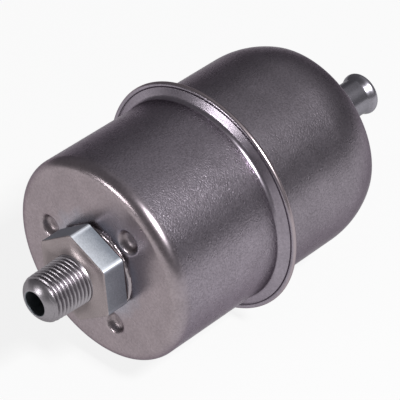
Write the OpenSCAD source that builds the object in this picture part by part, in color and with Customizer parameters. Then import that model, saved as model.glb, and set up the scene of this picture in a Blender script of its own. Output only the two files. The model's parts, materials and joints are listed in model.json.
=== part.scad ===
// In-line fuel filter in a crimped steel can.
// Threaded hex fitting on the front end, beaded hose nipple on the rear end,
// and a pleated paper cartridge held by a spring inside.
// Frame: +X runs along the axis from the threaded end to the hose end, +Z is up.
// Origin: on the axis, where the thread meets the hex shoulder.

/* [Can] */
// Outside diameter of the front shell
can_d = 44.5; // [42:0.1:46]
// Outside diameter of the rear shell
rear_d = 44.1; // [42:0.1:46]
// Outside diameter of the crimped flange
flange_d = 50.8; // [49:0.1:54]
// Length of the can from its flat front face to its rear face
can_len = 61.2; // [58:0.1:64]
// Distance from the front face to the back of the crimp
crimp_end = 30.3; // [29:0.1:33]
// Thickness of the steel sheet
sheet = 0.4; // [0.4:0.05:0.5]
// Lean of the crimp's front face
crimp_lean = 25; // [20:1:28]
// Radius of the fillet between the front shell and its flange
crimp_fillet = 1.2; // [1:0.1:1.5]
// Outer radius of the corner round the front face
front_corner = 2.5; // [1.5:0.1:3.5]
// Axial length of the rear shoulder
shoulder_len = 10.8; // [9:0.1:12]
// Radial depth of the rear shoulder
shoulder_depth = 5.3; // [5:0.1:6.5]

/* [Dimples] */
// Number of dimples pressed into the front face
dimple_count = 3; // [3:1:4]
// Radius of the circle that the dimples lie on
dimple_ring = 13.2; // [12.5:0.1:14]
// Angle of the first dimple round the axis
dimple_turn = 10.5; // [0:0.5:119]
// Radius of a dimple's mouth
dimple_r = 3.1; // [2.9:0.1:3.3]
// Radius of a dimple's flat floor
dimple_floor_r = 0.9; // [0.6:0.1:1]
// Depth of a dimple
dimple_depth = 1.5; // [1.2:0.1:1.6]

/* [Threaded fitting] */
// Hex width across its flats, 11/16 inch
hex_af = 17.46; // [15.9:0.01:19.1]
// Hex thickness
hex_h = 5.5; // [4:0.1:7]
// Angle of the hex round the axis
hex_turn = 24.5; // [0:0.5:59]
// Crest diameter of the 1/8-27 pipe thread
thread_d = 10.2; // [10:0.01:10.4]
// Thread pitch, 27 threads per inch
thread_pitch = 0.941; // [0.9:0.001:1]
// Number of thread grooves
thread_turns = 7; // [5:1:8]
// Length from the hex shoulder to the tip
thread_len = 10.5; // [10:0.1:12]
// Diameter of the fuel bore
fitting_bore = 5.7; // [5:0.1:6.2]

/* [Hose nipple] */
// Outside diameter of the tube, 5/16 inch
tube_d = 7.94; // [7.5:0.01:8.2]
// Wall thickness of the tube
tube_wall = 0.8; // [0.6:0.05:1]
// Length of the tube outside the can
nipple_len = 18.7; // [16:0.1:24]
// Diameter of the hose bead on the end
bead_d = 9.3; // [9:0.1:9.8]
// Length of the level crest of the hose bead
bead_land = 0.6; // [0.4:0.1:1]

/* [Cartridge] */
// Number of pleats in the paper
pleats = 32; // [24:1:34]
// Radius over the pleat tips
pleat_out_r = 18.8; // [18:0.1:19]
// Radius inside the pleat roots
pleat_in_r = 8.6; // [8.5:0.1:9.5]
// Thickness of the paper as drawn
paper_t = 0.35; // [0.25:0.05:0.4]
// Length of the cartridge over its end caps
cartridge_len = 44; // [42:0.5:45]
// Outside radius of the end caps
cap_r = 19.8; // [19.6:0.1:20.2]
// Number of coils in the cartridge spring
spring_turns = 5; // [4:0.5:6]
// Diameter of the spring wire
wire_d = 1.2; // [1:0.1:1.3]

/* [Hidden] */
round_fn = 96;

can_r = can_d / 2;
rear_r = rear_d / 2;
flange_r = flange_d / 2;

// Stations along the axis, from the thread's root
boss_h = 0.6;
face_x = hex_h + boss_h;
wall_x = face_x + sheet;
hem_end_x = face_x + crimp_end;
rear_flange_end_x = hem_end_x - sheet;
rear_flange_x = rear_flange_end_x - sheet;
rear_x = face_x + can_len;
rear_wall_x = rear_x - sheet;
tip_x = rear_x + nipple_len;
cartridge_x = wall_x + dimple_depth;
cartridge_end_x = cartridge_x + cartridge_len;

// Crimp: the front flange leans back, then rolls over the edge of the flat rear flange
bend_r = 0.9;
roll_r = 0.55;
roll_c = flange_r - roll_r;
roll_x = rear_flange_x - sheet + roll_r;
roll_end_x = hem_end_x - roll_r;
lip_r = rear_r + bend_r + 0.1;
slant_t = sheet / cos(crimp_lean);
lean_gap = 0.03;
lean_end_r = roll_c - 0.4;
lean_end_x = rear_flange_x - slant_t - lean_gap;
lean_foot_r = can_r + crimp_fillet * (1 - sin(crimp_lean));
fillet_x = lean_x(lean_foot_r) - crimp_fillet * cos(crimp_lean);
gasket_in_r = rear_r + bend_r + 0.1;
gasket_out_r = lean_end_r - 0.2;

// Rear shoulder: a wide arc and a tight arc that meet at shoulder_turn
tight_r = 3.4;
tight_x = rear_x - tight_r;
tight_c = rear_r - shoulder_depth;
shoulder_run = shoulder_len - tight_r;
shoulder_rise = shoulder_depth - tight_r;
wide_r = (pow(shoulder_run, 2) + pow(shoulder_depth, 2) - pow(tight_r, 2)) / (2 * shoulder_rise);
wide_c = rear_r - wide_r;
wide_x = rear_x - shoulder_len;
shoulder_turn = atan2(shoulder_run, wide_r - shoulder_depth);

// Dimples: an arc round the mouth and an equal arc round the floor
dimple_run = dimple_r - dimple_floor_r;
dimple_arc = (pow(dimple_run, 2) + pow(dimple_depth, 2)) / (4 * dimple_depth);
dimple_wall_turn = atan2(dimple_arc - dimple_depth / 2, dimple_run / 2);

// Fitting
thread_r = thread_d / 2;
groove_depth = 0.6;
crest_w = 0.3;
nose_len = 2.6;
nose_r = 3.2;
nose_mid_r = 4.5;
nose_mid_len = 1.2;
boss_r = 7.6;
spigot_r = 4.8;
swage_r = 5.6;
swage_t = 0.6;
braze_w = 1.2;

// Nipple
tube_r = tube_d / 2;
tube_bore_r = tube_r - tube_wall;
bead_r = bead_d / 2;
bead_round = 0.8;
bead_x = tip_x - bead_round - bead_land;
stop_r = 5.9;
stop_t = 1.2;
flare_r = 5.4;
flare_t = 0.5;

// Cartridge
cap_t = 0.5;
cap_rim = 4;
cap_hole_r = 6;
potting_t = 2.5;
paper_sink = 1.5;
core_r = 8.2;
core_wall = 0.5;
core_hole_r = 1.3;
core_rows = 8;
core_turn = 8;
boss_top_r = 6.2;
boss_top_h = 1.5;
seal_in_r = 6.3;
seal_out_r = 9.5;
clip_gap = 0.05;
clip_t = 0.25;
clip_depth = 3.4;
clip_inset = 0.3;
pleat_step = 360 / pleats;
pleat_tip_w = 0.5;
pleat_root_w = 0.42;
paper_x = cartridge_x + cap_t + potting_t - paper_sink;
paper_end_x = cartridge_end_x - cap_t - potting_t + paper_sink;

// Spring and its seat
seat_t = 0.6;
seat_hole_r = 5.7;
seat_out_r = 9.5;
seat_lip_r = 6.7;
seat_lip_t = 0.5;
seat_lip_h = 1.5;
coil_r = 7.5;
coil_steps = 24;
wire_sides = 8;
spring_x = cartridge_end_x + wire_d / 2;
spring_end_x = rear_wall_x - seat_t - wire_d / 2;

// ---- Shared shapes: outlines are drawn as [radius, station along the axis] ----

// Turns an outline round the X axis
module turn() {
    rotate([0, 90, 0]) rotate([0, 0, 180])
        rotate_extrude($fn = round_fn) children();
}

// A straight band of an outline
module band(r0, r1, x0, x1) {
    translate([r0, x0]) square([r1 - r0, x1 - x0]);
}

// A slice of a ring, from angle a0 to a1 (under 180 degrees), for a bend in sheet
module bend(centre, inner, outer, a0, a1) {
    mid = (a0 + a1) / 2;
    reach = 3 * outer;
    translate(centre) intersection() {
        difference() {
            circle(r = outer, $fn = round_fn);
            if (inner > 0) circle(r = inner, $fn = round_fn);
        }
        polygon([
            [0, 0],
            reach * [cos(a0), sin(a0)],
            reach * [cos(mid), sin(mid)],
            reach * [cos(a1), sin(a1)]
        ]);
    }
}

// Turns an outline round the middle of each dimple, with its station 0 on the front face
module turn_dimples() {
    for (i = [0 : dimple_count - 1])
        rotate([dimple_turn + i * 360 / dimple_count, 0, 0])
            translate([face_x, dimple_ring, 0]) turn() children();
}

// Outline of a dimple from station x0 to its pressed surface, moved inwards by depth
module dimple_outline(x0, depth) {
    floor_x = dimple_depth - dimple_arc;
    difference() {
        polygon([
            [0, x0],
            [dimple_r, x0],
            [dimple_r, dimple_arc],
            [dimple_floor_r, floor_x],
            [dimple_floor_r, dimple_depth + depth],
            [0, dimple_depth + depth]
        ]);
        translate([dimple_r, dimple_arc]) circle(r = dimple_arc - depth, $fn = round_fn);
    }
    bend([dimple_floor_r, floor_x], 0, dimple_arc + depth, dimple_wall_turn, 90);
}

// Station of the leaning front flange's outer face at radius r
function lean_x(r) = lean_end_x - tan(crimp_lean) * (lean_end_r - r);

// A point at radius r and angle a round the axis, in an outline that runs along X
function spoke(r, a) = [-r * sin(a), r * cos(a)];

// Degrees that a width w takes up at radius r
function spread(w, r) = w / r * 180 / PI;

// One side of the pleated strip: tips at tip_r and roots at root_r, with flat folds
function pleat_side(tip_r, tip_w, root_r, root_w) = [
    for (i = [0 : pleats - 1]) each [
        spoke(tip_r, i * pleat_step - spread(tip_w, tip_r)),
        spoke(tip_r, i * pleat_step + spread(tip_w, tip_r)),
        spoke(root_r, (i + 0.5) * pleat_step - spread(root_w, root_r)),
        spoke(root_r, (i + 0.5) * pleat_step + spread(root_w, root_r))
    ]
];

// The strip of paper between its two sides, from x0 to x1
module pleated_strip(x0, x1) {
    half = paper_t / 2;
    translate([x0, 0, 0]) rotate([90, 0, 90]) linear_extrude(height = x1 - x0) difference() {
        polygon(pleat_side(pleat_out_r, pleat_tip_w + half, pleat_in_r + paper_t, pleat_root_w - half));
        polygon(pleat_side(pleat_out_r - paper_t, pleat_tip_w - half, pleat_in_r, pleat_root_w + half));
    }
}

// ---- The can ----

// Flat-ended front cup with three dimples; its flange is rolled over the rear one
module front_shell() {
    corner_c = can_r - front_corner;
    fillet_c = can_r + crimp_fillet;
    color([0.56, 0.53, 0.54]) difference() {
        union() {
            turn() {
                band(spigot_r, corner_c, face_x, wall_x);
                bend([corner_c, face_x + front_corner], front_corner - sheet, front_corner, -90, 0);
                band(can_r - sheet, can_r, face_x + front_corner, fillet_x);
                bend([fillet_c, fillet_x], crimp_fillet, crimp_fillet + sheet, 90 + crimp_lean, 180);
                polygon([
                    [lean_foot_r, lean_x(lean_foot_r)],
                    [lean_end_r, lean_end_x],
                    [lean_end_r, lean_end_x + slant_t],
                    [lean_foot_r - sheet * sin(crimp_lean), lean_x(lean_foot_r) + sheet * cos(crimp_lean)]
                ]);
                band(lean_end_r - 0.1, roll_c, roll_x - roll_r, rear_flange_x);
                bend([roll_c, roll_x], roll_r - sheet, roll_r, -90, 0);
                band(flange_r - sheet, flange_r, roll_x, roll_end_x);
                bend([roll_c, roll_end_x], roll_r - sheet, roll_r, 0, 90);
                band(lip_r, roll_c, rear_flange_end_x, hem_end_x);
            }
            turn_dimples() dimple_outline(sheet / 2, sheet);
        }
        turn_dimples() dimple_outline(-sheet, 0);
    }
}

// Rear cup with a soft shoulder and a flat flange
module rear_shell() {
    wall_x0 = rear_flange_end_x + bend_r;
    color([0.54, 0.51, 0.53]) turn() {
        band(rear_r + bend_r, roll_c, rear_flange_x, rear_flange_end_x);
        bend([rear_r + bend_r, wall_x0], bend_r, bend_r + sheet, 180, 270);
        band(rear_r - sheet, rear_r, wall_x0, wide_x);
        bend([wide_c, wide_x], wide_r - sheet, wide_r, 0, shoulder_turn);
        bend([tight_c, tight_x], tight_r - sheet, tight_r, shoulder_turn, 90);
        band(tube_r, tight_c, rear_wall_x, rear_x);
    }
}

// Wedge-shaped sealing ring squeezed between the two flanges
module seam_gasket() {
    color([0.16, 0.16, 0.17]) turn() polygon([
        [gasket_in_r, lean_x(gasket_in_r) + slant_t],
        [gasket_out_r, lean_x(gasket_out_r) + slant_t],
        [gasket_out_r, rear_flange_x],
        [gasket_in_r, rear_flange_x]
    ]);
}

// ---- The end fittings ----

// Outline of the fitting's turned core, with the thread drawn as rings
module fitting_core() {
    groove_half = (thread_pitch - crest_w) / 2;
    difference() {
        union() {
            polygon([
                [0, -thread_len],
                [nose_r, -thread_len],
                [nose_mid_r, -thread_len + nose_mid_len],
                [thread_r, -thread_len + nose_len],
                [0, -thread_len + nose_len]
            ]);
            band(0, thread_r, -thread_len + nose_len, 0);
            band(0, boss_r, 0, face_x);
            band(0, spigot_r, face_x, wall_x);
            band(0, swage_r, wall_x, wall_x + swage_t);
        }
        for (i = [0 : thread_turns - 1])
            translate([thread_r, -thread_len + nose_len + crest_w + (i + 0.5) * thread_pitch]) polygon([
                [-groove_depth, 0],
                [0, -groove_half],
                [1, -groove_half],
                [1, groove_half],
                [0, groove_half]
            ]);
        band(0, fitting_bore / 2, -thread_len, wall_x + swage_t);
    }
}

// Hex fitting: pipe thread outside, spigot swaged inside the front shell
module threaded_fitting() {
    color([0.7, 0.71, 0.74]) union() {
        turn() fitting_core();
        rotate([hex_turn - 90, 0, 0]) rotate([0, 90, 0]) difference() {
            cylinder(r = hex_af / sqrt(3), h = hex_h, $fn = 6);
            translate([0, 0, -1]) cylinder(r = boss_r - 0.5, h = hex_h + 2, $fn = round_fn);
        }
    }
}

// Ring of braze in the corner between the fitting's boss and the front face
module fitting_braze() {
    color([0.72, 0.72, 0.73]) turn() polygon([
        [boss_r, hex_h],
        [boss_r + braze_w, face_x - 0.1],
        [boss_r + braze_w, face_x],
        [boss_r, face_x]
    ]);
}

// Steel tube with a stop collar, a hose bead and a flare inside the can
module hose_nipple() {
    color([0.6, 0.58, 0.6]) turn() difference() {
        union() {
            band(0, flare_r, rear_wall_x - flare_t, rear_wall_x);
            band(0, tube_r, rear_wall_x, bead_x + bead_land);
            band(0, stop_r, rear_x, rear_x + stop_t);
            bend([bead_r - bead_round, bead_x], 0, bead_round, -90, 0);
            band(tube_r - tube_wall / 2, bead_r, bead_x, bead_x + bead_land);
            bend([bead_r - bead_round, bead_x + bead_land], 0, bead_round, 0, 90);
            band(0, bead_r - bead_round, bead_x + bead_land, tip_x);
        }
        band(0, tube_bore_r, rear_wall_x - flare_t, tip_x);
    }
}

// Ring of braze round the nipple's stop collar
module nipple_braze() {
    color([0.72, 0.72, 0.73]) turn() polygon([
        [stop_r, rear_x],
        [stop_r + braze_w, rear_x],
        [stop_r + braze_w, rear_x + 0.1],
        [stop_r, rear_x + stop_t]
    ]);
}

// ---- The cartridge inside ----

// Rubber washer that seals the cartridge to the front wall, round the outlet
module outlet_seal() {
    color([0.1, 0.1, 0.11]) turn() band(seal_in_r, seal_out_r, wall_x, cartridge_x);
}

// Open end cap: a shallow dish with a hole for the clean fuel
module cartridge_front_cap() {
    color([0.75, 0.76, 0.78]) turn() {
        band(cap_hole_r, cap_r, cartridge_x, cartridge_x + cap_t);
        band(cap_r - cap_t, cap_r, cartridge_x, cartridge_x + cap_rim);
    }
}

// Closed end cap: a shallow dish with a raised boss that centres the spring
module cartridge_rear_cap() {
    back = cartridge_end_x;
    color([0.75, 0.76, 0.78]) turn() {
        band(boss_top_r - cap_t, cap_r, back - cap_t, back);
        band(cap_r - cap_t, cap_r, back - cap_rim, back);
        band(boss_top_r - cap_t, boss_top_r, back, back + boss_top_h);
        band(0, boss_top_r, back + boss_top_h - cap_t, back + boss_top_h);
    }
}

// Bed of adhesive in an end cap, cast round the ends of the pleats
module potting(x0) {
    color([0.78, 0.62, 0.3]) difference() {
        turn() band(core_r, cap_r - cap_t, x0, x0 + potting_t);
        pleated_strip(paper_x, paper_end_x);
    }
}

module front_potting() {
    potting(cartridge_x + cap_t);
}

module rear_potting() {
    potting(cartridge_end_x - cap_t - potting_t);
}

// Pleated filter paper in a ring
module pleated_paper() {
    color([0.9, 0.84, 0.66]) pleated_strip(paper_x, paper_end_x);
}

// Folded tin clip that closes the paper's side seam over one pleat
module pleat_clip() {
    inner = pleat_tip_w + paper_t / 2 + clip_gap;
    outer = inner + clip_t;
    clip_x = cartridge_x + cap_rim + clip_inset;
    clip_end = cartridge_end_x - cap_rim - clip_inset;
    color([0.78, 0.78, 0.8]) translate([clip_x, 0, 0]) rotate([90, 0, 90])
        linear_extrude(height = clip_end - clip_x) difference() {
            translate([-outer, pleat_out_r - clip_depth])
                square([2 * outer, clip_depth + clip_gap + clip_t]);
            translate([-inner, pleat_out_r - clip_depth - 1])
                square([2 * inner, clip_depth + clip_gap + 1]);
        }
}

// Perforated steel core that holds the pleats out against the fuel's pressure
module centre_tube() {
    x0 = cartridge_x + cap_t;
    x1 = cartridge_end_x - cap_t;
    row_step = (x1 - x0) / (core_rows + 1);
    color([0.7, 0.7, 0.72]) difference() {
        turn() band(core_r - core_wall, core_r, x0, x1);
        for (row = [1 : core_rows], k = [0 : 2])
            translate([x0 + row * row_step, 0, 0]) rotate([core_turn + k * 60 + (row % 2) * 30, 0, 0])
                translate([0, 0, -core_r - 1])
                    cylinder(r = core_hole_r, h = 2 * core_r + 2, $fn = 24);
    }
}

// Coil spring that keeps the cartridge against the outlet seal
module cartridge_spring() {
    steps = spring_turns * coil_steps;
    rings = [for (i = [0 : steps]) coil_ring(i / steps)];
    points = [for (ring = rings) each ring];
    sides = [
        for (i = [0 : steps - 1], j = [0 : wire_sides - 1])
            let (a = i * wire_sides + j, b = i * wire_sides + (j + 1) % wire_sides)
                each [[a, a + wire_sides, b + wire_sides], [a, b + wire_sides, b]]
    ];
    first_end = [for (j = [0 : wire_sides - 1]) j];
    last_end = [for (j = [wire_sides - 1 : -1 : 0]) steps * wire_sides + j];
    color([0.66, 0.67, 0.7]) polyhedron(points = points, faces = concat(sides, [first_end, last_end]));
}

// Ring of wire points at part f of the way along the coil; the end coils lie flat
function coil_ring(f) =
    let (
        turn_angle = 360 * spring_turns * f,
        rise = min(max((f * spring_turns - 0.75) / (spring_turns - 1.5), 0), 1),
        x = spring_x + rise * (spring_end_x - spring_x)
    )
    [
        for (j = [0 : wire_sides - 1])
            let (a = 360 * j / wire_sides, r = coil_r + wire_d / 2 * cos(a))
                [x + wire_d / 2 * sin(a), r * cos(turn_angle), r * sin(turn_angle)]
    ];

// Pressed ring that centres the spring on the rear wall, clear of the inlet
module spring_seat() {
    color([0.68, 0.68, 0.71]) turn() {
        band(seat_hole_r, seat_out_r, rear_wall_x - seat_t, rear_wall_x);
        band(seat_lip_r - seat_lip_t, seat_lip_r, rear_wall_x - seat_t - seat_lip_h, rear_wall_x - seat_t);
    }
}

front_shell();
rear_shell();
seam_gasket();
threaded_fitting();
fitting_braze();
hose_nipple();
nipple_braze();
outlet_seal();
cartridge_front_cap();
cartridge_rear_cap();
front_potting();
rear_potting();
pleated_paper();
pleat_clip();
centre_tube();
cartridge_spring();
spring_seat();
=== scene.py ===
"""Looks for an in-line fuel filter: a crimped, plated steel can with a hex fitting and a hose nipple.

Units are metres. The frame is the CAD model's: +X from the threaded end to the hose end, +Z up, origin at the
root of the thread. Outlines are lists of (x, r) points that are turned round the X axis.
"""
import json
import math

import bpy
import bmesh
import numpy as np
from mathutils import Matrix, Vector


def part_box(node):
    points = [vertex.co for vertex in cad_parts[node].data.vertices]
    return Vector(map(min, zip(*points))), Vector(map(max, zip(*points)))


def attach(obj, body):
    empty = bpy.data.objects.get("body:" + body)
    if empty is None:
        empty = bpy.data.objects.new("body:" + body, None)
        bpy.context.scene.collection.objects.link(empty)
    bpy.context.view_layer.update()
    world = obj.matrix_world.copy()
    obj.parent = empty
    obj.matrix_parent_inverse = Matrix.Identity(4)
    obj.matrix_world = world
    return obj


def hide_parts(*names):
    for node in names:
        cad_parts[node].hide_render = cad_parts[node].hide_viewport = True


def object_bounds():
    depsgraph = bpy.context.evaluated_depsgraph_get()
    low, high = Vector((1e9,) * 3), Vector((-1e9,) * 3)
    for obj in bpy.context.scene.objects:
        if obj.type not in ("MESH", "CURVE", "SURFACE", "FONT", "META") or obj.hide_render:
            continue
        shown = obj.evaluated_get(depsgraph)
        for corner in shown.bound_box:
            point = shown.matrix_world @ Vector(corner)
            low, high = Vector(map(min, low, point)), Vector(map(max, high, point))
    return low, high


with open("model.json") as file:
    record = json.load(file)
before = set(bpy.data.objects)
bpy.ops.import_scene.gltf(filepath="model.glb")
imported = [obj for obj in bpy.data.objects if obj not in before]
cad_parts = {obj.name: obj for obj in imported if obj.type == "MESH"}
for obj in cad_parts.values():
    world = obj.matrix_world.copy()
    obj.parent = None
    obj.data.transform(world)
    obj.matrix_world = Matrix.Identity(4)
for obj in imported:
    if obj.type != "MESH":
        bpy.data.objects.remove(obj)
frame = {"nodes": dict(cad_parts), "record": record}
cad_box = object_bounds()

MM = 0.001
TAU = 2 * math.pi
SEGMENTS = 384            # points round a turned piece; a multiple of 6, for the hex
ARC_BEND = 12             # degrees; an outline that turns less than this at a point is an arc
HAIR = 1e-9               # stations or radii that are closer than this are the same

# ---- Sizes: places from the frame, and details in millimetres ----


def mount(name):
    """The record's mount of that name."""
    return next(m for m in frame["record"]["mounts"] if m["name"] == name)


def mount_radius(name):
    return mount(name)["dims"]["r_mm"] * MM


# Can
CAN_R = mount_radius("body_clamp")
FACE_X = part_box("front_shell")[0].x
WALL_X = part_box("outlet_seal")[0].x
SHEET = WALL_X - FACE_X
CRIMP_END_X, FLANGE_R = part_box("front_shell")[1].x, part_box("front_shell")[1].z
REAR_FLANGE_X, REAR_FLANGE_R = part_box("rear_shell")[0].x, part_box("rear_shell")[1].z
REAR_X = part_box("rear_shell")[1].x
REAR_WALL_X = REAR_X - SHEET
REAR_R = 22.05 * MM
FRONT_CORNER = 2.5 * MM
SHOULDER_LEN, SHOULDER_DEPTH = 10.8 * MM, 5.3 * MM
TIGHT_R = 3.4 * MM

# Crimp: the front flange leans back, then rolls over the edge of the rear flange
LEAN = 25
FILLET_R, REAR_FILLET_R = 1.17 * MM, 0.9 * MM
ROLL_R = 1.5 * SHEET
ROLL_C, ROLL_X = FLANGE_R - ROLL_R, REAR_FLANGE_X + SHEET / 2
LEAN_END_X, LEAN_END_R = ROLL_X - 0.35 * MM, ROLL_C - 0.49 * MM
SLANT = SHEET / math.cos(math.radians(LEAN))
PINCH_R = LEAN_END_R - (LEAN_END_X + SLANT - REAR_FLANGE_X) / math.tan(math.radians(LEAN))
LIP_FOOT_R = REAR_R + REAR_FILLET_R + 0.1 * MM  # how far in the rolled lip and the gasket reach

# Dimples
DIMPLE_RING, DIMPLE_DEPTH = 13.2 * MM, 1.5 * MM
DIMPLE_R, DIMPLE_FLOOR_R = 3.1 * MM, 0.9 * MM
DIMPLE_MOUTH = 0.25 * MM  # depth at which the dull plating in a dimple starts
DIMPLE_TURNS = [math.radians(10.5 + 120 * i) for i in range(3)]

# Fitting
THREAD_TIP_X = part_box("threaded_fitting")[0].x
HEX_AF, HEX_H, HEX_TURN = 17.46 * MM, 5.5 * MM, math.radians(24.5)
HEX_BEVEL = 0.22 * MM
HEX_CORNER_CUT = 0.16 * MM
BOSS_R, SPIGOT_R, SWAGE_R, SWAGE_T = 7.6 * MM, 4.8 * MM, 5.6 * MM, 0.6 * MM
BORE_R, BORE_LIP = 2.6 * MM, 0.22 * MM
NOSE_R, NOSE_TOP_R, NOSE_LEN = 2.95 * MM, 4.98 * MM, 2.6 * MM
THREAD_R = mount_radius("thread")
PITCH, THREAD_DEPTH, CREST_W = 0.941 * MM, 0.68 * MM, 0.1 * MM
THREAD_TAPER = 1 / 32     # radius gained for each unit of length on a pipe thread
GAUGE_X, GAUGE_LIFT = -4 * MM, 0.02 * MM  # where the crests have the thread's radius, and a little over
ROWS_PER_PITCH = 15
RUN_OUT = 0.9 * MM
NOSE_BLUNT = 2.4          # a higher power makes the nose blunter
NECK_R = THREAD_R + 0.3 * MM      # inside this radius a face belongs to the thread
HEXED_R = HEX_AF / 2 - 0.8 * MM   # outside this radius the collar is a full hexagon
BRAZE_SIDE = math.radians(190)    # the side of the hex that the braze ran to
BRAZE_RIPPLE = 0.09 * MM

# Nipple
NIPPLE_TIP_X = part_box("hose_nipple")[1].x
TUBE_R, TUBE_WALL = 3.97 * MM, 0.8 * MM
BEAD_R = mount_radius("hose_bead")
BEAD_RISE = 1.9 * MM
BEAD_CREST_X = NIPPLE_TIP_X - 0.85 * MM
STOP_R, STOP_T = 5.9 * MM, 1.2 * MM
FLARE_R, FLARE_T = 5.4 * MM, 0.5 * MM

# ---- Camera: fitted to the view of the photograph ----

LOOK = Vector((0.5772, 0.5435, -0.6095))
STAND = Vector((-0.2541, -0.2669, 0.2986))  # from the middle of the front face
LENS, SENSOR = 219.45, 36


def make_camera():
    data = bpy.data.cameras.new("camera")
    data.sensor_width = SENSOR
    data.lens = LENS
    data.clip_start, data.clip_end = 0.01, 20
    camera = bpy.data.objects.new("camera", data)
    bpy.context.scene.collection.objects.link(camera)
    forward = LOOK.normalized()
    right = forward.cross(Vector((0, 0, 1))).normalized()
    up = right.cross(forward)
    place = Vector((FACE_X, 0, 0)) + STAND
    turn = Matrix((right, up, -forward)).transposed().to_4x4()
    camera.matrix_world = Matrix.Translation(place) @ turn
    bpy.context.scene.camera = camera


# ---- Mesh helpers ----


def arc(cx, cr, radius, start, end, steps=8):
    """Points on an arc of an outline. Angles are in degrees, from +x towards +r."""
    angles = [math.radians(start + (end - start) * i / steps) for i in range(steps + 1)]
    return [(cx + radius * math.cos(a), cr + radius * math.sin(a)) for a in angles]


def bend(p0, p1, p2):
    """How far an outline turns at p1, in degrees."""
    way_in = math.atan2(p1[1] - p0[1], p1[0] - p0[0])
    way_out = math.atan2(p2[1] - p1[1], p2[0] - p1[0])
    return abs(math.degrees((way_out - way_in + math.pi) % TAU - math.pi))


def refine(outline, step=0.5 * MM, hold=0.05 * MM, wall_step=2 * MM):
    """Divides the long straights of a closed outline, with a point held close to each end.

    Straights that run along the axis turn into plain walls, so wall_step is enough for them. The chords of
    an arc stay whole.
    """
    corners = [p for p, q in zip(outline, outline[1:] + outline[:1]) if math.dist(p, q) > 1e-7]
    points = []
    for i, (x0, r0) in enumerate(corners):
        x1, r1 = corners[(i + 1) % len(corners)]
        length = math.hypot(x1 - x0, r1 - r0)
        turns = (
            bend(corners[i - 1], corners[i], (x1, r1)),
            bend(corners[i], (x1, r1), corners[(i + 2) % len(corners)]),
        )
        chord = max(turns) < ARC_BEND and length < 1 * MM
        stops = [0]
        if length > 4 * hold and not chord:
            pace = step if abs(r1 - r0) > abs(x1 - x0) else wall_step
            count = max(1, math.ceil((length - 2 * hold) / pace))
            stops += [(hold + (length - 2 * hold) * k / count) / length for k in range(count + 1)]
        points += [(x0 + (x1 - x0) * t, r0 + (r1 - r0) * t) for t in stops]
    return np.array(points)


def grid_faces(rows, columns):
    """Quads of a grid that closes on itself both ways."""
    i, k = np.meshgrid(np.arange(rows), np.arange(columns), indexing="ij")
    i2, k2 = (i + 1) % rows, (k + 1) % columns
    corners = [i * columns + k, i2 * columns + k, i2 * columns + k2, i * columns + k2]
    return np.stack(corners, -1).reshape(-1, 4)


def make_object(name, verts, faces):
    """A smooth-shaded mesh object whose normals point outwards."""
    mesh = bpy.data.meshes.new(name)
    mesh.from_pydata([tuple(v) for v in verts], [], [tuple(int(c) for c in f) for f in faces])
    tidy = bmesh.new()
    tidy.from_mesh(mesh)
    bmesh.ops.recalc_face_normals(tidy, faces=tidy.faces)
    tidy.to_mesh(mesh)
    tidy.free()
    mesh.polygons.foreach_set("use_smooth", [True] * len(mesh.polygons))
    piece = bpy.data.objects.new(name, mesh)
    bpy.context.scene.collection.objects.link(piece)
    return piece


def lathe(name, outline, shape=None, segments=SEGMENTS):
    """Turns a closed outline round the X axis. shape(x, r, angle) may move the grid's points."""
    points = np.asarray(outline)
    angle = np.arange(segments) * TAU / segments
    x, a = np.meshgrid(points[:, 0], angle, indexing="ij")
    r = np.meshgrid(points[:, 1], angle, indexing="ij")[0]
    if shape:
        x, r = shape(x, r, a)
    verts = np.stack([x, r * np.cos(a), r * np.sin(a)], -1).reshape(-1, 3)
    return make_object(name, verts, grid_faces(len(points), segments))


def smooth_step(t):
    t = np.clip(t, 0, 1)
    return t * t * (3 - 2 * t)


def waves(angle, size, seed):
    """A small irregular ripple round the axis, the same each time for one seed."""
    chance = np.random.default_rng(seed)
    total = np.zeros_like(angle)
    for n in (2, 3, 5, 8, 13, 21, 34, 47):
        total += np.sin(n * angle + chance.uniform(0, TAU)) / math.sqrt(n)
    return size * total


# ---- The can ----


def lean_x(r):
    """Station of the leaning flange's outer face at radius r."""
    return LEAN_END_X - math.tan(math.radians(LEAN)) * (LEAN_END_R - r)


def front_face_outline():
    """The flat front face, with finer rows where the dimples are."""
    inner, outer = DIMPLE_RING - DIMPLE_R, DIMPLE_RING + DIMPLE_R
    zones = [(SPIGOT_R, inner, 10), (inner, outer, 38), (outer, CAN_R - FRONT_CORNER, 7)]
    return [(FACE_X, start + (end - start) * i / rows) for start, end, rows in zones for i in range(rows)]


def crimp_outline():
    """Outer face of the crimp, from the fillet at its foot to the lip behind it."""
    foot_r = CAN_R + FILLET_R * (1 - math.sin(math.radians(LEAN)))
    fillet_x = lean_x(foot_r) - FILLET_R * math.cos(math.radians(LEAN))
    lip = SHEET / 2
    crease_r = LEAN_END_R - 0.05 * MM
    return fillet_x, [
        *arc(fillet_x, CAN_R + FILLET_R, FILLET_R, 270, 360 - LEAN, 14),
        (lean_x(crease_r), crease_r),
        (LEAN_END_X, LEAN_END_R + 0.01 * MM),
        *arc(ROLL_X, ROLL_C, ROLL_R, 230, 0, 36),
        *arc(CRIMP_END_X - lip, LIP_FOOT_R + lip, lip, 0, -180, 6),
    ]


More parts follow.
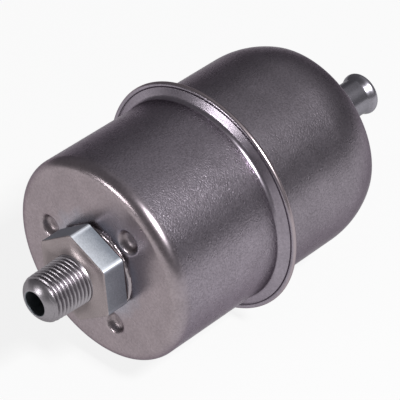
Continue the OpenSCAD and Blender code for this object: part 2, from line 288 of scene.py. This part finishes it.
def front_shell_outline():
    """Cross-section of the front shell: outside from the face to the crimp, then back along the inside."""
    corner_x, corner_r = FACE_X + FRONT_CORNER, CAN_R - FRONT_CORNER
    fillet_x, crimp = crimp_outline()
    return [
        *front_face_outline(),
        *arc(corner_x, corner_r, FRONT_CORNER, 180, 90, 24),
        *crimp,
        *arc(ROLL_X, ROLL_C, ROLL_R - SHEET, 0, 180, 8),
        (REAR_FLANGE_X, PINCH_R),
        *arc(fillet_x, CAN_R + FILLET_R, FILLET_R + SHEET, 360 - LEAN, 270, 10),
        *arc(corner_x, corner_r, FRONT_CORNER - SHEET, 90, 180, 12),
        (WALL_X, SPIGOT_R),
    ]


def dimple_depth(distance):
    """Depth of a dimple at a distance from its middle: one arc round the mouth, one round the floor."""
    run = DIMPLE_R - DIMPLE_FLOOR_R
    radius = (run ** 2 + DIMPLE_DEPTH ** 2) / (4 * DIMPLE_DEPTH)
    from_floor = np.clip(distance - DIMPLE_FLOOR_R, 0, run / 2)
    from_mouth = np.clip(DIMPLE_R - distance, 0, run / 2)
    low = DIMPLE_DEPTH - radius + np.sqrt(radius ** 2 - from_floor ** 2)
    high = radius - np.sqrt(radius ** 2 - from_mouth ** 2)
    return np.where(distance < DIMPLE_FLOOR_R + run / 2, low, high)


def press_dimples(x, r, a):
    """Presses the dimples into the front face, through the thickness of the sheet."""
    x = x.copy()
    on_face = x < FACE_X + 2 * SHEET
    for turn in DIMPLE_TURNS:
        dy = r * np.cos(a) - DIMPLE_RING * math.cos(turn)
        dz = r * np.sin(a) - DIMPLE_RING * math.sin(turn)
        x += np.where(on_face, dimple_depth(np.hypot(dy, dz)), 0)
    return x, r


def make_front_shell():
    """The front can: material 0 on its formed ends, 1 on its straight wall and 2 in the dimples."""
    piece = lathe("front_can", refine(front_shell_outline()), press_dimples)
    fillet_x = crimp_outline()[0]
    for face in piece.data.polygons:
        x, r = face.center.x, math.hypot(face.center.y, face.center.z)
        if FACE_X + FRONT_CORNER < x < fillet_x:
            face.material_index = 1
        elif x > FACE_X + DIMPLE_MOUTH and abs(r - DIMPLE_RING) < DIMPLE_R:
            face.material_index = 2
    return piece


def rear_shell_outline():
    """Cross-section of the rear shell; its shoulder is a wide arc that runs into a tight one."""
    flange_end_x = REAR_FLANGE_X + SHEET
    wall_x = flange_end_x + REAR_FILLET_R
    wide_x = REAR_X - SHOULDER_LEN
    tight_x, tight_r = REAR_X - TIGHT_R, REAR_R - SHOULDER_DEPTH
    run, rise = SHOULDER_LEN - TIGHT_R, SHOULDER_DEPTH - TIGHT_R
    wide = (run ** 2 + SHOULDER_DEPTH ** 2 - TIGHT_R ** 2) / (2 * rise)
    turn = math.degrees(math.atan2(run, wide - SHOULDER_DEPTH))
    return [
        (REAR_FLANGE_X, REAR_FLANGE_R),
        (flange_end_x, REAR_FLANGE_R),
        *arc(wall_x, REAR_R + REAR_FILLET_R, REAR_FILLET_R, 180, 270, 10),
        *arc(wide_x, REAR_R - wide, wide, 90, 90 - turn, 36),
        *arc(tight_x, tight_r, TIGHT_R, 90 - turn, 0, 28),
        (REAR_X, TUBE_R),
        (REAR_WALL_X, TUBE_R),
        *arc(tight_x, tight_r, TIGHT_R - SHEET, 0, 90 - turn, 16),
        *arc(wide_x, REAR_R - wide, wide - SHEET, 90 - turn, 90, 24),
        *arc(wall_x, REAR_R + REAR_FILLET_R, REAR_FILLET_R + SHEET, 270, 180, 10),
    ]


def make_rear_shell():
    return lathe("rear_can", refine(rear_shell_outline()))


def make_gasket():
    """The sealing ring in the wedge between the two flanges."""
    inner_r, outer_r = LIP_FOOT_R, PINCH_R - 0.02 * MM
    edge = 0.05 * MM
    outline = [
        (lean_x(inner_r) + SLANT, inner_r),
        (lean_x(outer_r) + SLANT, outer_r),
        (REAR_FLANGE_X, outer_r),
        *arc(REAR_FLANGE_X - edge, inner_r, edge, 0, -60, 3),
    ]
    return lathe("seam_ring", refine(outline, step=0.2 * MM))


# ---- The threaded fitting ----


def hex_factor(a):
    """How much further out than its flats the hex is at each angle, with the corners just cut."""
    off = (a - HEX_TURN) % (TAU / 6) - TAU / 12
    corner = HEX_AF / math.sqrt(3) - HEX_CORNER_CUT
    return np.minimum(1 / np.cos(off), corner / (HEX_AF / 2))


def thread_radius(x, a):
    """Radius of the tapered, right-handed pipe thread, with its blend into the nose and its run-out."""
    phase = ((x - PITCH * a / TAU) / PITCH) % 1
    flank = (PITCH - CREST_W) / 2
    dip = np.clip((0.5 - np.abs(phase - 0.5)) * PITCH - CREST_W / 2, 0, flank) / flank
    depth = THREAD_DEPTH * smooth_step(-x / RUN_OUT)
    crest = THREAD_R + GAUGE_LIFT + THREAD_TAPER * (x - GAUGE_X)
    along = np.clip((x - THREAD_TIP_X) / NOSE_LEN, 0, 1)
    nose = NOSE_R + (NOSE_TOP_R - NOSE_R) * (1 - (1 - along) ** NOSE_BLUNT)
    return np.where(along < 1, np.minimum(crest - depth * dip, nose), crest - depth * dip)


def fitting_outline():
    """Cross-section of the fitting before shape_fitting: a plain shank, then the collar and the spigot."""
    flat_r = HEX_AF / 2
    thread_rows = int(round(-THREAD_TIP_X / (PITCH / ROWS_PER_PITCH)))
    thread = [(THREAD_TIP_X * (1 - i / thread_rows), THREAD_R) for i in range(thread_rows + 1)]
    body = [
        (0, flat_r - 1.6 * HEX_BEVEL),
        (0.3 * HEX_BEVEL, flat_r - 0.6 * HEX_BEVEL),
        (HEX_BEVEL, flat_r),
        (HEX_H - HEX_BEVEL, flat_r),
        (HEX_H, flat_r - HEX_BEVEL),
        (HEX_H, BOSS_R),
        (FACE_X, BOSS_R),
        (FACE_X, SPIGOT_R),
        (WALL_X, SPIGOT_R),
        (WALL_X, SWAGE_R),
        (WALL_X + SWAGE_T, SWAGE_R),
        (WALL_X + SWAGE_T, BORE_R),
        *arc(THREAD_TIP_X + BORE_LIP, BORE_R + BORE_LIP, BORE_LIP, 270, 180, 5),
        (THREAD_TIP_X, NOSE_R - 0.02 * MM),
    ]
    rounded = refine(body, step=0.35 * MM)
    last = max(i for i, p in enumerate(rounded) if abs(p[0] - THREAD_TIP_X) < HAIR and p[1] < NOSE_R)
    return np.concatenate([np.array(thread), rounded[:last + 1]])


def shape_fitting(x, r, a):
    """Cuts the thread and spreads the turned collar out into a hexagon."""
    shank = (x <= HAIR) & (np.abs(r - THREAD_R) < HAIR)
    collar = (x > -HAIR) & (x < HEX_H + HAIR) & (r > NECK_R)
    spread = smooth_step((r - THREAD_R) / (HEXED_R - THREAD_R))
    hexed = r * (1 + spread * (hex_factor(a) - 1))
    return x, np.where(shank, thread_radius(x, a), np.where(collar, hexed, r))


def make_fitting():
    """The hex fitting: material 0 on turned faces, 1 on the thread, 2 in the bore, 3 on the flats and 4 on
    the top flat, whose brighter colour is a painted highlight.
    """
    piece = lathe("hex_fitting", fitting_outline(), shape_fitting)
    for face in piece.data.polygons:
        r = math.hypot(face.center.y, face.center.z)
        if r < BORE_R + 0.6 * BORE_LIP:
            face.material_index = 2
        elif face.center.x < 0 and r < NECK_R:
            face.material_index = 1
        elif face.center.x < HEX_H and abs(face.normal.x) < 0.3 and r > HEX_AF / 2 - 0.1 * MM:
            side = (math.atan2(face.center.z, face.center.y) - HEX_TURN) % TAU // (TAU / 6)
            face.material_index = 4 if side == 1 else 3
    return piece


def braze_outline(inner_r, foot_x, top_x, width):
    """A rounded bead between a collar and a flat wall at foot_x; top_x is its height on the collar."""
    curve = [
        (foot_x + (top_x - foot_x) * math.sin(t), inner_r + width * (0.5 + 0.5 * math.cos(t)))
        for t in (math.pi / 2 * i / 12 for i in range(13))
    ]
    return [(foot_x, inner_r), *curve, (top_x, inner_r)]


def make_braze(name, inner_r, foot_x, top_x, width, seed, heavy=0.0):
    """A braze bead with a rippled surface; heavy is how much wider it is on the side that it ran to."""
    def uneven(x, r, a):
        out = np.clip((r - inner_r) / width, 0, 1)
        return x, r + out * (waves(a, BRAZE_RIPPLE, seed) + heavy * np.cos(a - BRAZE_SIDE))
    return lathe(name, refine(braze_outline(inner_r, foot_x, top_x, width), step=0.2 * MM), uneven)


# ---- The hose nipple ----


def nipple_outline():
    """Cross-section of the hose tube: flare inside the wall, stop collar, tube and bead."""
    bore_r = TUBE_R - TUBE_WALL
    lip = NIPPLE_TIP_X - BEAD_CREST_X
    rise = [
        (BEAD_CREST_X - BEAD_RISE * (1 - t), TUBE_R + (BEAD_R - TUBE_R) * float(smooth_step(t)))
        for t in (i / 16 for i in range(17))
    ]
    edge = 0.25 * MM
    return [
        (REAR_WALL_X - FLARE_T, bore_r),
        (REAR_WALL_X - FLARE_T, FLARE_R),
        (REAR_WALL_X, FLARE_R),
        (REAR_WALL_X, TUBE_R),
        (REAR_X, TUBE_R),
        (REAR_X, STOP_R),
        *arc(REAR_X + STOP_T - edge, STOP_R - edge, edge, 90, 0, 4),
        *arc(REAR_X + STOP_T + edge, TUBE_R + edge, edge, 180, 270, 4),
        *rise,
        *arc(BEAD_CREST_X, BEAD_R - lip, lip, 90, 0, 10)[1:],
        *arc(NIPPLE_TIP_X - edge, bore_r + edge, edge, 0, -90, 4),
    ]


def make_nipple():
    return lathe("hose_tube", refine(nipple_outline(), step=0.4 * MM), segments=192)


# ---- The cartridge spring ----


def make_spring():
    """Round wire wound in an open coil whose end turns lie flat."""
    low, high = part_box("cartridge_spring")
    wire = 0.6 * MM
    coil = high.z - wire
    turns, per_turn, sides = 5, 64, 20
    flat = 0.6  # turns at each end that lie flat
    start, end = low.x + wire, high.x - wire
    rings = []
    for i in range(turns * per_turn + 1):
        f = i / (turns * per_turn)
        rise = float(smooth_step((f * turns - flat) / (turns - 2 * flat)))
        angle = TAU * turns * f
        out = Vector((0, math.cos(angle), math.sin(angle)))
        centre = out * coil + Vector((start + rise * (end - start), 0, 0))
        ring = (TAU * j / sides for j in range(sides))
        rings.append([centre + wire * (out * math.cos(b) + Vector((math.sin(b), 0, 0))) for b in ring])
    verts = [p for ring in rings for p in ring]
    faces = [
        (i * sides + j, (i + 1) * sides + j, (i + 1) * sides + (j + 1) % sides, i * sides + (j + 1) % sides)
        for i in range(len(rings) - 1) for j in range(sides)
    ]
    mesh_ends = [tuple(range(sides)), tuple(len(verts) - sides + j for j in reversed(range(sides)))]
    return make_object("coil_spring", verts, faces + mesh_ends)


# ---- Materials ----


class Nodes:
    """Short calls for building one node material."""

    def __init__(self, name):
        self.material = bpy.data.materials.new(name)
        self.material.use_nodes = True
        self.tree = self.material.node_tree
        self.tree.nodes.clear()
        self.output = self.add("ShaderNodeOutputMaterial")
        self.shader = self.add("ShaderNodeBsdfPrincipled")
        self.link(self.shader, "BSDF", self.output, "Surface")
        self.place = self.add("ShaderNodeTexCoord")

    def add(self, kind, **settings):
        node = self.tree.nodes.new(kind)
        for key, value in settings.items():
            if key in node.inputs:
                node.inputs[key].default_value = value
            else:
                setattr(node, key, value)
        return node

    def link(self, source, output, target, socket):
        self.tree.links.new(source.outputs[output], target.inputs[socket])

    def noise(self, size, detail=2.0, roughness=0.5):
        """Noise whose blotches are about size metres across."""
        node = self.add("ShaderNodeTexNoise", Scale=1 / size, Detail=detail, Roughness=roughness)
        self.link(self.place, "Object", node, "Vector")
        return node

    def ramp(self, source, output, stops):
        """Maps a 0 to 1 value through (position, colour) stops."""
        node = self.add("ShaderNodeValToRGB")
        while len(node.color_ramp.elements) < len(stops):
            node.color_ramp.elements.new(0.5)
        for element, (position, colour) in zip(node.color_ramp.elements, stops):
            element.position = position
            element.color = (*colour, 1)
        self.link(source, output, node, "Fac")
        return node

    def span(self, source, output, low, high):
        """Maps a 0.3 to 0.7 value to low to high."""
        node = self.add("ShaderNodeMapRange", clamp=True)
        node.inputs["From Min"].default_value = 0.3
        node.inputs["From Max"].default_value = 0.7
        node.inputs["To Min"].default_value = low
        node.inputs["To Max"].default_value = high
        self.link(source, output, node, "Value")
        return node

    def ragged_step(self, source, output, low, high, size=1.5 * MM, depth=0.3):
        """Goes from 0 to 1 between two lengths in metres, with a ragged edge."""
        ragged = self.add("ShaderNodeMath", operation="MULTIPLY_ADD")
        self.link(self.noise(size, 3), "Fac", ragged, 0)
        ragged.inputs[1].default_value = depth * (high - low)
        self.link(source, output, ragged, 2)
        step = self.add("ShaderNodeMapRange", clamp=True)
        step.inputs["From Min"].default_value = low
        step.inputs["From Max"].default_value = high
        self.link(ragged, "Value", step, "Value")
        return step

    def along(self, x0, x1, factor):
        """A multiplier that goes from 1 to a colour factor between two stations of the axis."""
        axis = self.add("ShaderNodeSeparateXYZ")
        self.link(self.place, "Object", axis, "Vector")
        return self.ramp(self.ragged_step(axis, "X", x0, x1), "Result", [(0.0, (1, 1, 1)), (1.0, factor)])

    def reach(self):
        """The distance from the filter's axis."""
        across = self.add("ShaderNodeVectorMath", operation="MULTIPLY")
        across.inputs[1].default_value = (0, 1, 1)
        self.link(self.place, "Object", across, 0)
        reach = self.add("ShaderNodeVectorMath", operation="LENGTH")
        self.link(across, "Vector", reach, 0)
        return reach

    def around(self, r0, r1, factor):
        """A multiplier that goes from a colour factor to 1 between two distances from the axis."""
        step = self.ragged_step(self.reach(), "Value", r0, r1, 3 * MM, 0.9)
        return self.ramp(step, "Result", [(0.0, factor), (1.0, (1, 1, 1))])

    def rim(self, radius, band):
        """A mask of the rubbed edge: it rises over the last band of the way out to a radius."""
        return self.ragged_step(self.reach(), "Value", radius - band, radius)

    def mix(self, factor, a, b, blend="MIX"):
        """Mixes colour outputs or plain colours; factor is a (node, output) or a number."""
        node = self.add("ShaderNodeMix", data_type="RGBA", blend_type=blend)
        for value, socket in ((factor, 0), (a, 6), (b, 7)):
            if isinstance(value, tuple) and not isinstance(value[0], (int, float)):
                self.tree.links.new(value[0].outputs[value[1]], node.inputs[socket])
            elif socket == 0:
                node.inputs[0].default_value = value
            else:
                node.inputs[socket].default_value = (*value, 1)
        return node

    def bump(self, source, height):
        """Raises the surface by a noise, up to a height in metres."""
        node = self.add("ShaderNodeBump", Distance=height, Strength=1.0)
        self.link(source, "Fac", node, "Height")
        self.link(node, "Normal", self.shader, "Normal")


def scaled(colour, factor):
    return tuple(min(1.0, c * factor) for c in colour)


def plated_steel(
        name, colour, rough, grain, relief, rim_r, edge=(0.5, 0.5, 0.5), painted_light_run=None, speckle=0.1, bloom=None):
    """Zinc-plated steel: fine orange peel, soft blotches, and a brighter rubbed edge at the radius rim_r.

    grain is the size of the peel and relief its depth, in metres. edge is the tint of grazing reflections.
    stain is (x0, x1, factor): painted light and shade along the axis; the colour is multiplied by a factor
    that is reached over that run of the axis.
    bloom is (r0, r1, factor): a heat stain round the axis that fades out between two radii.
    speckle is the depth of the fine light and dark grain.
    """
    n = Nodes(name)
    n.shader.inputs["Metallic"].default_value = 1.0
    n.shader.inputs["Specular Tint"].default_value = (*edge, 1)
    blotch = n.noise(6 * MM, 3)
    fine = n.noise(grain, 2, 0.6)
    soft = n.noise(2.2 * MM, 2)
    tone = n.ramp(blotch, "Fac", [(0.3, scaled(colour, 0.93)), (0.7, scaled(colour, 1.07))])
    speck = n.ramp(fine, "Fac", [(0.35, (1 - speckle,) * 3), (0.65, (1 + speckle,) * 3)])
    toned = n.mix(1.0, (tone, "Color"), (speck, "Color"), "MULTIPLY")
    # Painted light and shade: the colour is multiplied by a factor along the axis
    if painted_light_run:
        toned = n.mix(1.0, (toned, 2), (n.along(*painted_light_run), "Color"), "MULTIPLY")
    if bloom:
        toned = n.mix(1.0, (toned, 2), (n.around(*bloom), "Color"), "MULTIPLY")
    colours = n.mix((n.rim(rim_r, 0.3 * MM), "Result"), (toned, 2), scaled(colour, 1.25))
    n.tree.links.new(colours.outputs[2], n.shader.inputs["Base Color"])
    n.link(n.span(soft, "Fac", rough - 0.01, rough + 0.01), "Result", n.shader, "Roughness")
    n.bump(fine, relief)
    return n.material


def rubber(name, colour):
    n = Nodes(name)
    fine = n.noise(0.25 * MM, 3)
    tone = n.ramp(n.noise(3 * MM), "Fac", [(0.3, scaled(colour, 0.8)), (0.7, scaled(colour, 1.2))])
    n.link(tone, "Color", n.shader, "Base Color")
    n.link(n.span(fine, "Fac", 0.62, 0.78), "Result", n.shader, "Roughness")
    n.bump(fine, 2e-5)
    return n.material


def filter_paper(name, colour):
    n = Nodes(name)
    fibre = n.noise(0.3 * MM, 6, 0.7)
    tone = n.ramp(fibre, "Fac", [(0.35, scaled(colour, 0.8)), (0.65, scaled(colour, 1.06))])
    n.link(tone, "Color", n.shader, "Base Color")
    n.link(n.span(fibre, "Fac", 0.8, 0.95), "Result", n.shader, "Roughness")
    n.bump(fibre, 4e-5)
    return n.material


def adhesive(name, colour):
    n = Nodes(name)
    cloud = n.noise(4 * MM, 3)
    tone = n.ramp(cloud, "Fac", [(0.3, scaled(colour, 0.85)), (0.7, scaled(colour, 1.1))])
    n.link(tone, "Color", n.shader, "Base Color")
    n.link(n.span(cloud, "Fac", 0.3, 0.45), "Result", n.shader, "Roughness")
    n.bump(cloud, 1e-4)
    return n.material


# ---- Stage: pale floor, soft lights, dim studio round it ----

MIDDLE = Vector((0.03, 0, 0))  # the lights and the floor are set round this point of the can
FLOOR_GAP = 0.2 * MM


def make_floor():
    bpy.ops.mesh.primitive_grid_add(x_subdivisions=8, y_subdivisions=8, size=0.9)
    floor = bpy.context.object
    floor.name = "floor"
    floor.location = (MIDDLE.x, 0, cad_box[0][2] - FLOOR_GAP)
    n = Nodes("floor")
    tone = n.ramp(n.noise(0.2), "Fac", [(0.3, (0.058, 0.058, 0.058)), (0.7, (0.062, 0.062, 0.062))])
    n.link(tone, "Color", n.shader, "Base Color")
    n.shader.inputs["Roughness"].default_value = 0.9
    n.shader.inputs["Specular IOR Level"].default_value = 0.1
    n.shader.inputs["Emission Color"].default_value = (1, 1, 1, 1)
    n.shader.inputs["Emission Strength"].default_value = 0.86
    floor.data.materials.append(n.material)


def soft_box(name, azimuth, elevation, distance, size, power):
    """An area light aimed at the can. Azimuth is in degrees from -Y towards +X."""
    az, el = math.radians(azimuth), math.radians(elevation)
    way = Vector((math.sin(az) * math.cos(el), -math.cos(az) * math.cos(el), math.sin(el)))
    data = bpy.data.lights.new(name, "AREA")
    data.shape = "RECTANGLE"
    data.size, data.size_y = size
    data.energy = power
    light = bpy.data.objects.new(name, data)
    light.location = MIDDLE + way * distance
    light.rotation_euler = way.to_track_quat("Z", "Y").to_euler()
    bpy.context.scene.collection.objects.link(light)


def make_lights():
    soft_box("key", -3, 50, 1.2, (0.2, 0.2), 26)
    soft_box("left", -110, 13.5, 1.2, (0.26, 0.22), 3.2)
    soft_box("band", 54, 45, 1.2, (0.7, 0.7), 0.25)
    soft_box("top", 98, 54, 1.2, (1.2, 1.2), 0.85)
    world = bpy.data.worlds.new("studio")
    bpy.context.scene.world = world
    world.use_nodes = True
    sky = world.node_tree.nodes["Background"]
    sky.inputs["Color"].default_value = (0.97, 0.96, 1, 1)
    sky.inputs["Strength"].default_value = 0.19


# ---- Build ----

make_camera()

CAN_COLOUR, CAN_EDGE = (0.315, 0.268, 0.284), (0.42, 0.39, 0.42)
# Painted light: from the front corner back, the can is tinted cooler, which leaves the end face warmer, as
# the light it reflects makes it look
WALL_TINT_PAINTED_LIGHT = (FACE_X + 0.5 * MM, FACE_X + 4 * MM, (0.88, 0.92, 1.0))
BRAZE_HEAT = (9.5 * MM, 15 * MM, (1.08, 1.3, 1.42))
# Painted shade: the top flat darkens towards the can, where the can shades it and is mirrored in it
TOP_FLAT_PAINTED_SHADE = (0.5 * MM, HEX_H, (0.38, 0.4, 0.43))
CORNER_R = HEX_AF / math.sqrt(3) - HEX_CORNER_CUT
zinc_ends = plated_steel(
    "zinc_can_ends", CAN_COLOUR, 0.28, 0.5 * MM, 6e-6, FLANGE_R, CAN_EDGE, WALL_TINT_PAINTED_LIGHT, bloom=BRAZE_HEAT)
zinc_dimple = plated_steel(
    "zinc_dimple", scaled(CAN_COLOUR, 0.9), 0.42, 0.5 * MM, 3e-5, FLANGE_R, CAN_EDGE, bloom=BRAZE_HEAT)
zinc_wall = plated_steel(
    "zinc_can_wall", CAN_COLOUR, 0.28, 0.33 * MM, 7e-5, FLANGE_R, CAN_EDGE, WALL_TINT_PAINTED_LIGHT, speckle=0.22)
zinc_rear = plated_steel(
    "zinc_rear_can", (0.25, 0.224, 0.254), 0.28, 0.33 * MM, 6e-5, FLANGE_R, CAN_EDGE, speckle=0.2)
zinc_hex = plated_steel("zinc_hex", (0.315, 0.27, 0.275), 0.4, 0.3 * MM, 1.5e-5, CORNER_R)
# The flats are tinted bluish: a painted reflection of the bluish light round the fitting
zinc_flats = plated_steel("zinc_hex_flats", (0.28, 0.29, 0.33), 0.5, 0.3 * MM, 1.5e-5, CORNER_R)
# The top flat is a brighter copy of the flats: a painted highlight of the key light, with painted shade
# towards the can
painted_lit_top_flat = plated_steel(
    "painted_lit_top_flat", (0.5, 0.52, 0.56), 0.6, 0.3 * MM, 1.5e-5, CORNER_R, painted_light_run=TOP_FLAT_PAINTED_SHADE)
zinc_thread = plated_steel("zinc_thread", (0.29, 0.27, 0.29), 0.34, 0.25 * MM, 6e-6, THREAD_R)
bore_steel = plated_steel("bore_steel", (0.16, 0.175, 0.19), 0.5, 0.3 * MM, 1e-5, BORE_R + BORE_LIP)
zinc_tube = plated_steel("zinc_tube", (0.26, 0.25, 0.28), 0.28, 0.3 * MM, 6e-6, BEAD_R)
braze = plated_steel("braze_metal", (0.28, 0.25, 0.265), 0.25, 0.5 * MM, 3e-5, BOSS_R)
dull_braze = plated_steel("dull_braze", (0.3, 0.27, 0.28), 0.35, 0.5 * MM, 3e-5, STOP_R)
tin = plated_steel("tin_plate", (0.66, 0.66, 0.68), 0.28, 0.6 * MM, 3e-6, 19.8 * MM, (0.9, 0.9, 0.9))
spring_wire = plated_steel("spring_wire", (0.5, 0.5, 0.53), 0.25, 0.3 * MM, 2e-6, 8.1 * MM, (0.9, 0.9, 0.9))
black_rubber = rubber("black_rubber", (0.03, 0.03, 0.032))
paper = filter_paper("filter_paper", (0.78, 0.68, 0.45))
glue = adhesive("adhesive", (0.55, 0.36, 0.1))


def dress(piece, materials, slot, *nodes):
    """Gives a new piece its materials and the root body, and hides the CAD nodes that it stands for; slot is
    not used.
    """
    for material in materials:
        piece.data.materials.append(material)
    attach(piece, "root")
    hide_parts(*nodes)


dress(make_front_shell(), [zinc_ends, zinc_wall, zinc_dimple], "can_steel", "front_shell")
dress(make_rear_shell(), [zinc_rear], "rear_can_steel", "rear_shell")
dress(make_gasket(), [black_rubber], "gasket_rubber", "seam_gasket")
FITTING_MATERIALS = [zinc_hex, zinc_thread, bore_steel, zinc_flats, painted_lit_top_flat]
dress(make_fitting(), FITTING_MATERIALS, "fitting_steel", "threaded_fitting")
dress(make_nipple(), [zinc_tube], "nipple_steel", "hose_nipple")
fitting_bead = make_braze("fitting_bead", BOSS_R, FACE_X, HEX_H, 1.5 * MM, seed=5, heavy=0.6 * MM)
dress(fitting_bead, [braze], "braze", "fitting_braze")
nipple_bead = make_braze("nipple_bead", STOP_R, REAR_X, REAR_X + STOP_T, 1 * MM, seed=8)
dress(nipple_bead, [dull_braze], "braze", "nipple_braze")
dress(make_spring(), [spring_wire], "spring_steel", "cartridge_spring")

INNER_MATERIALS = {
    "outlet_seal": black_rubber,
    "cartridge_front_cap": tin,
    "cartridge_rear_cap": tin,
    "front_potting": glue,
    "rear_potting": glue,
    "pleated_paper": paper,
    "pleat_clip": tin,
    "centre_tube": tin,
    "spring_seat": tin,
}
for node, material in INNER_MATERIALS.items():
    mesh = frame["nodes"][node].data
    mesh.materials.clear()
    mesh.materials.append(material)

make_floor()
make_lights()
bpy.context.scene.view_settings.view_transform = "Standard"
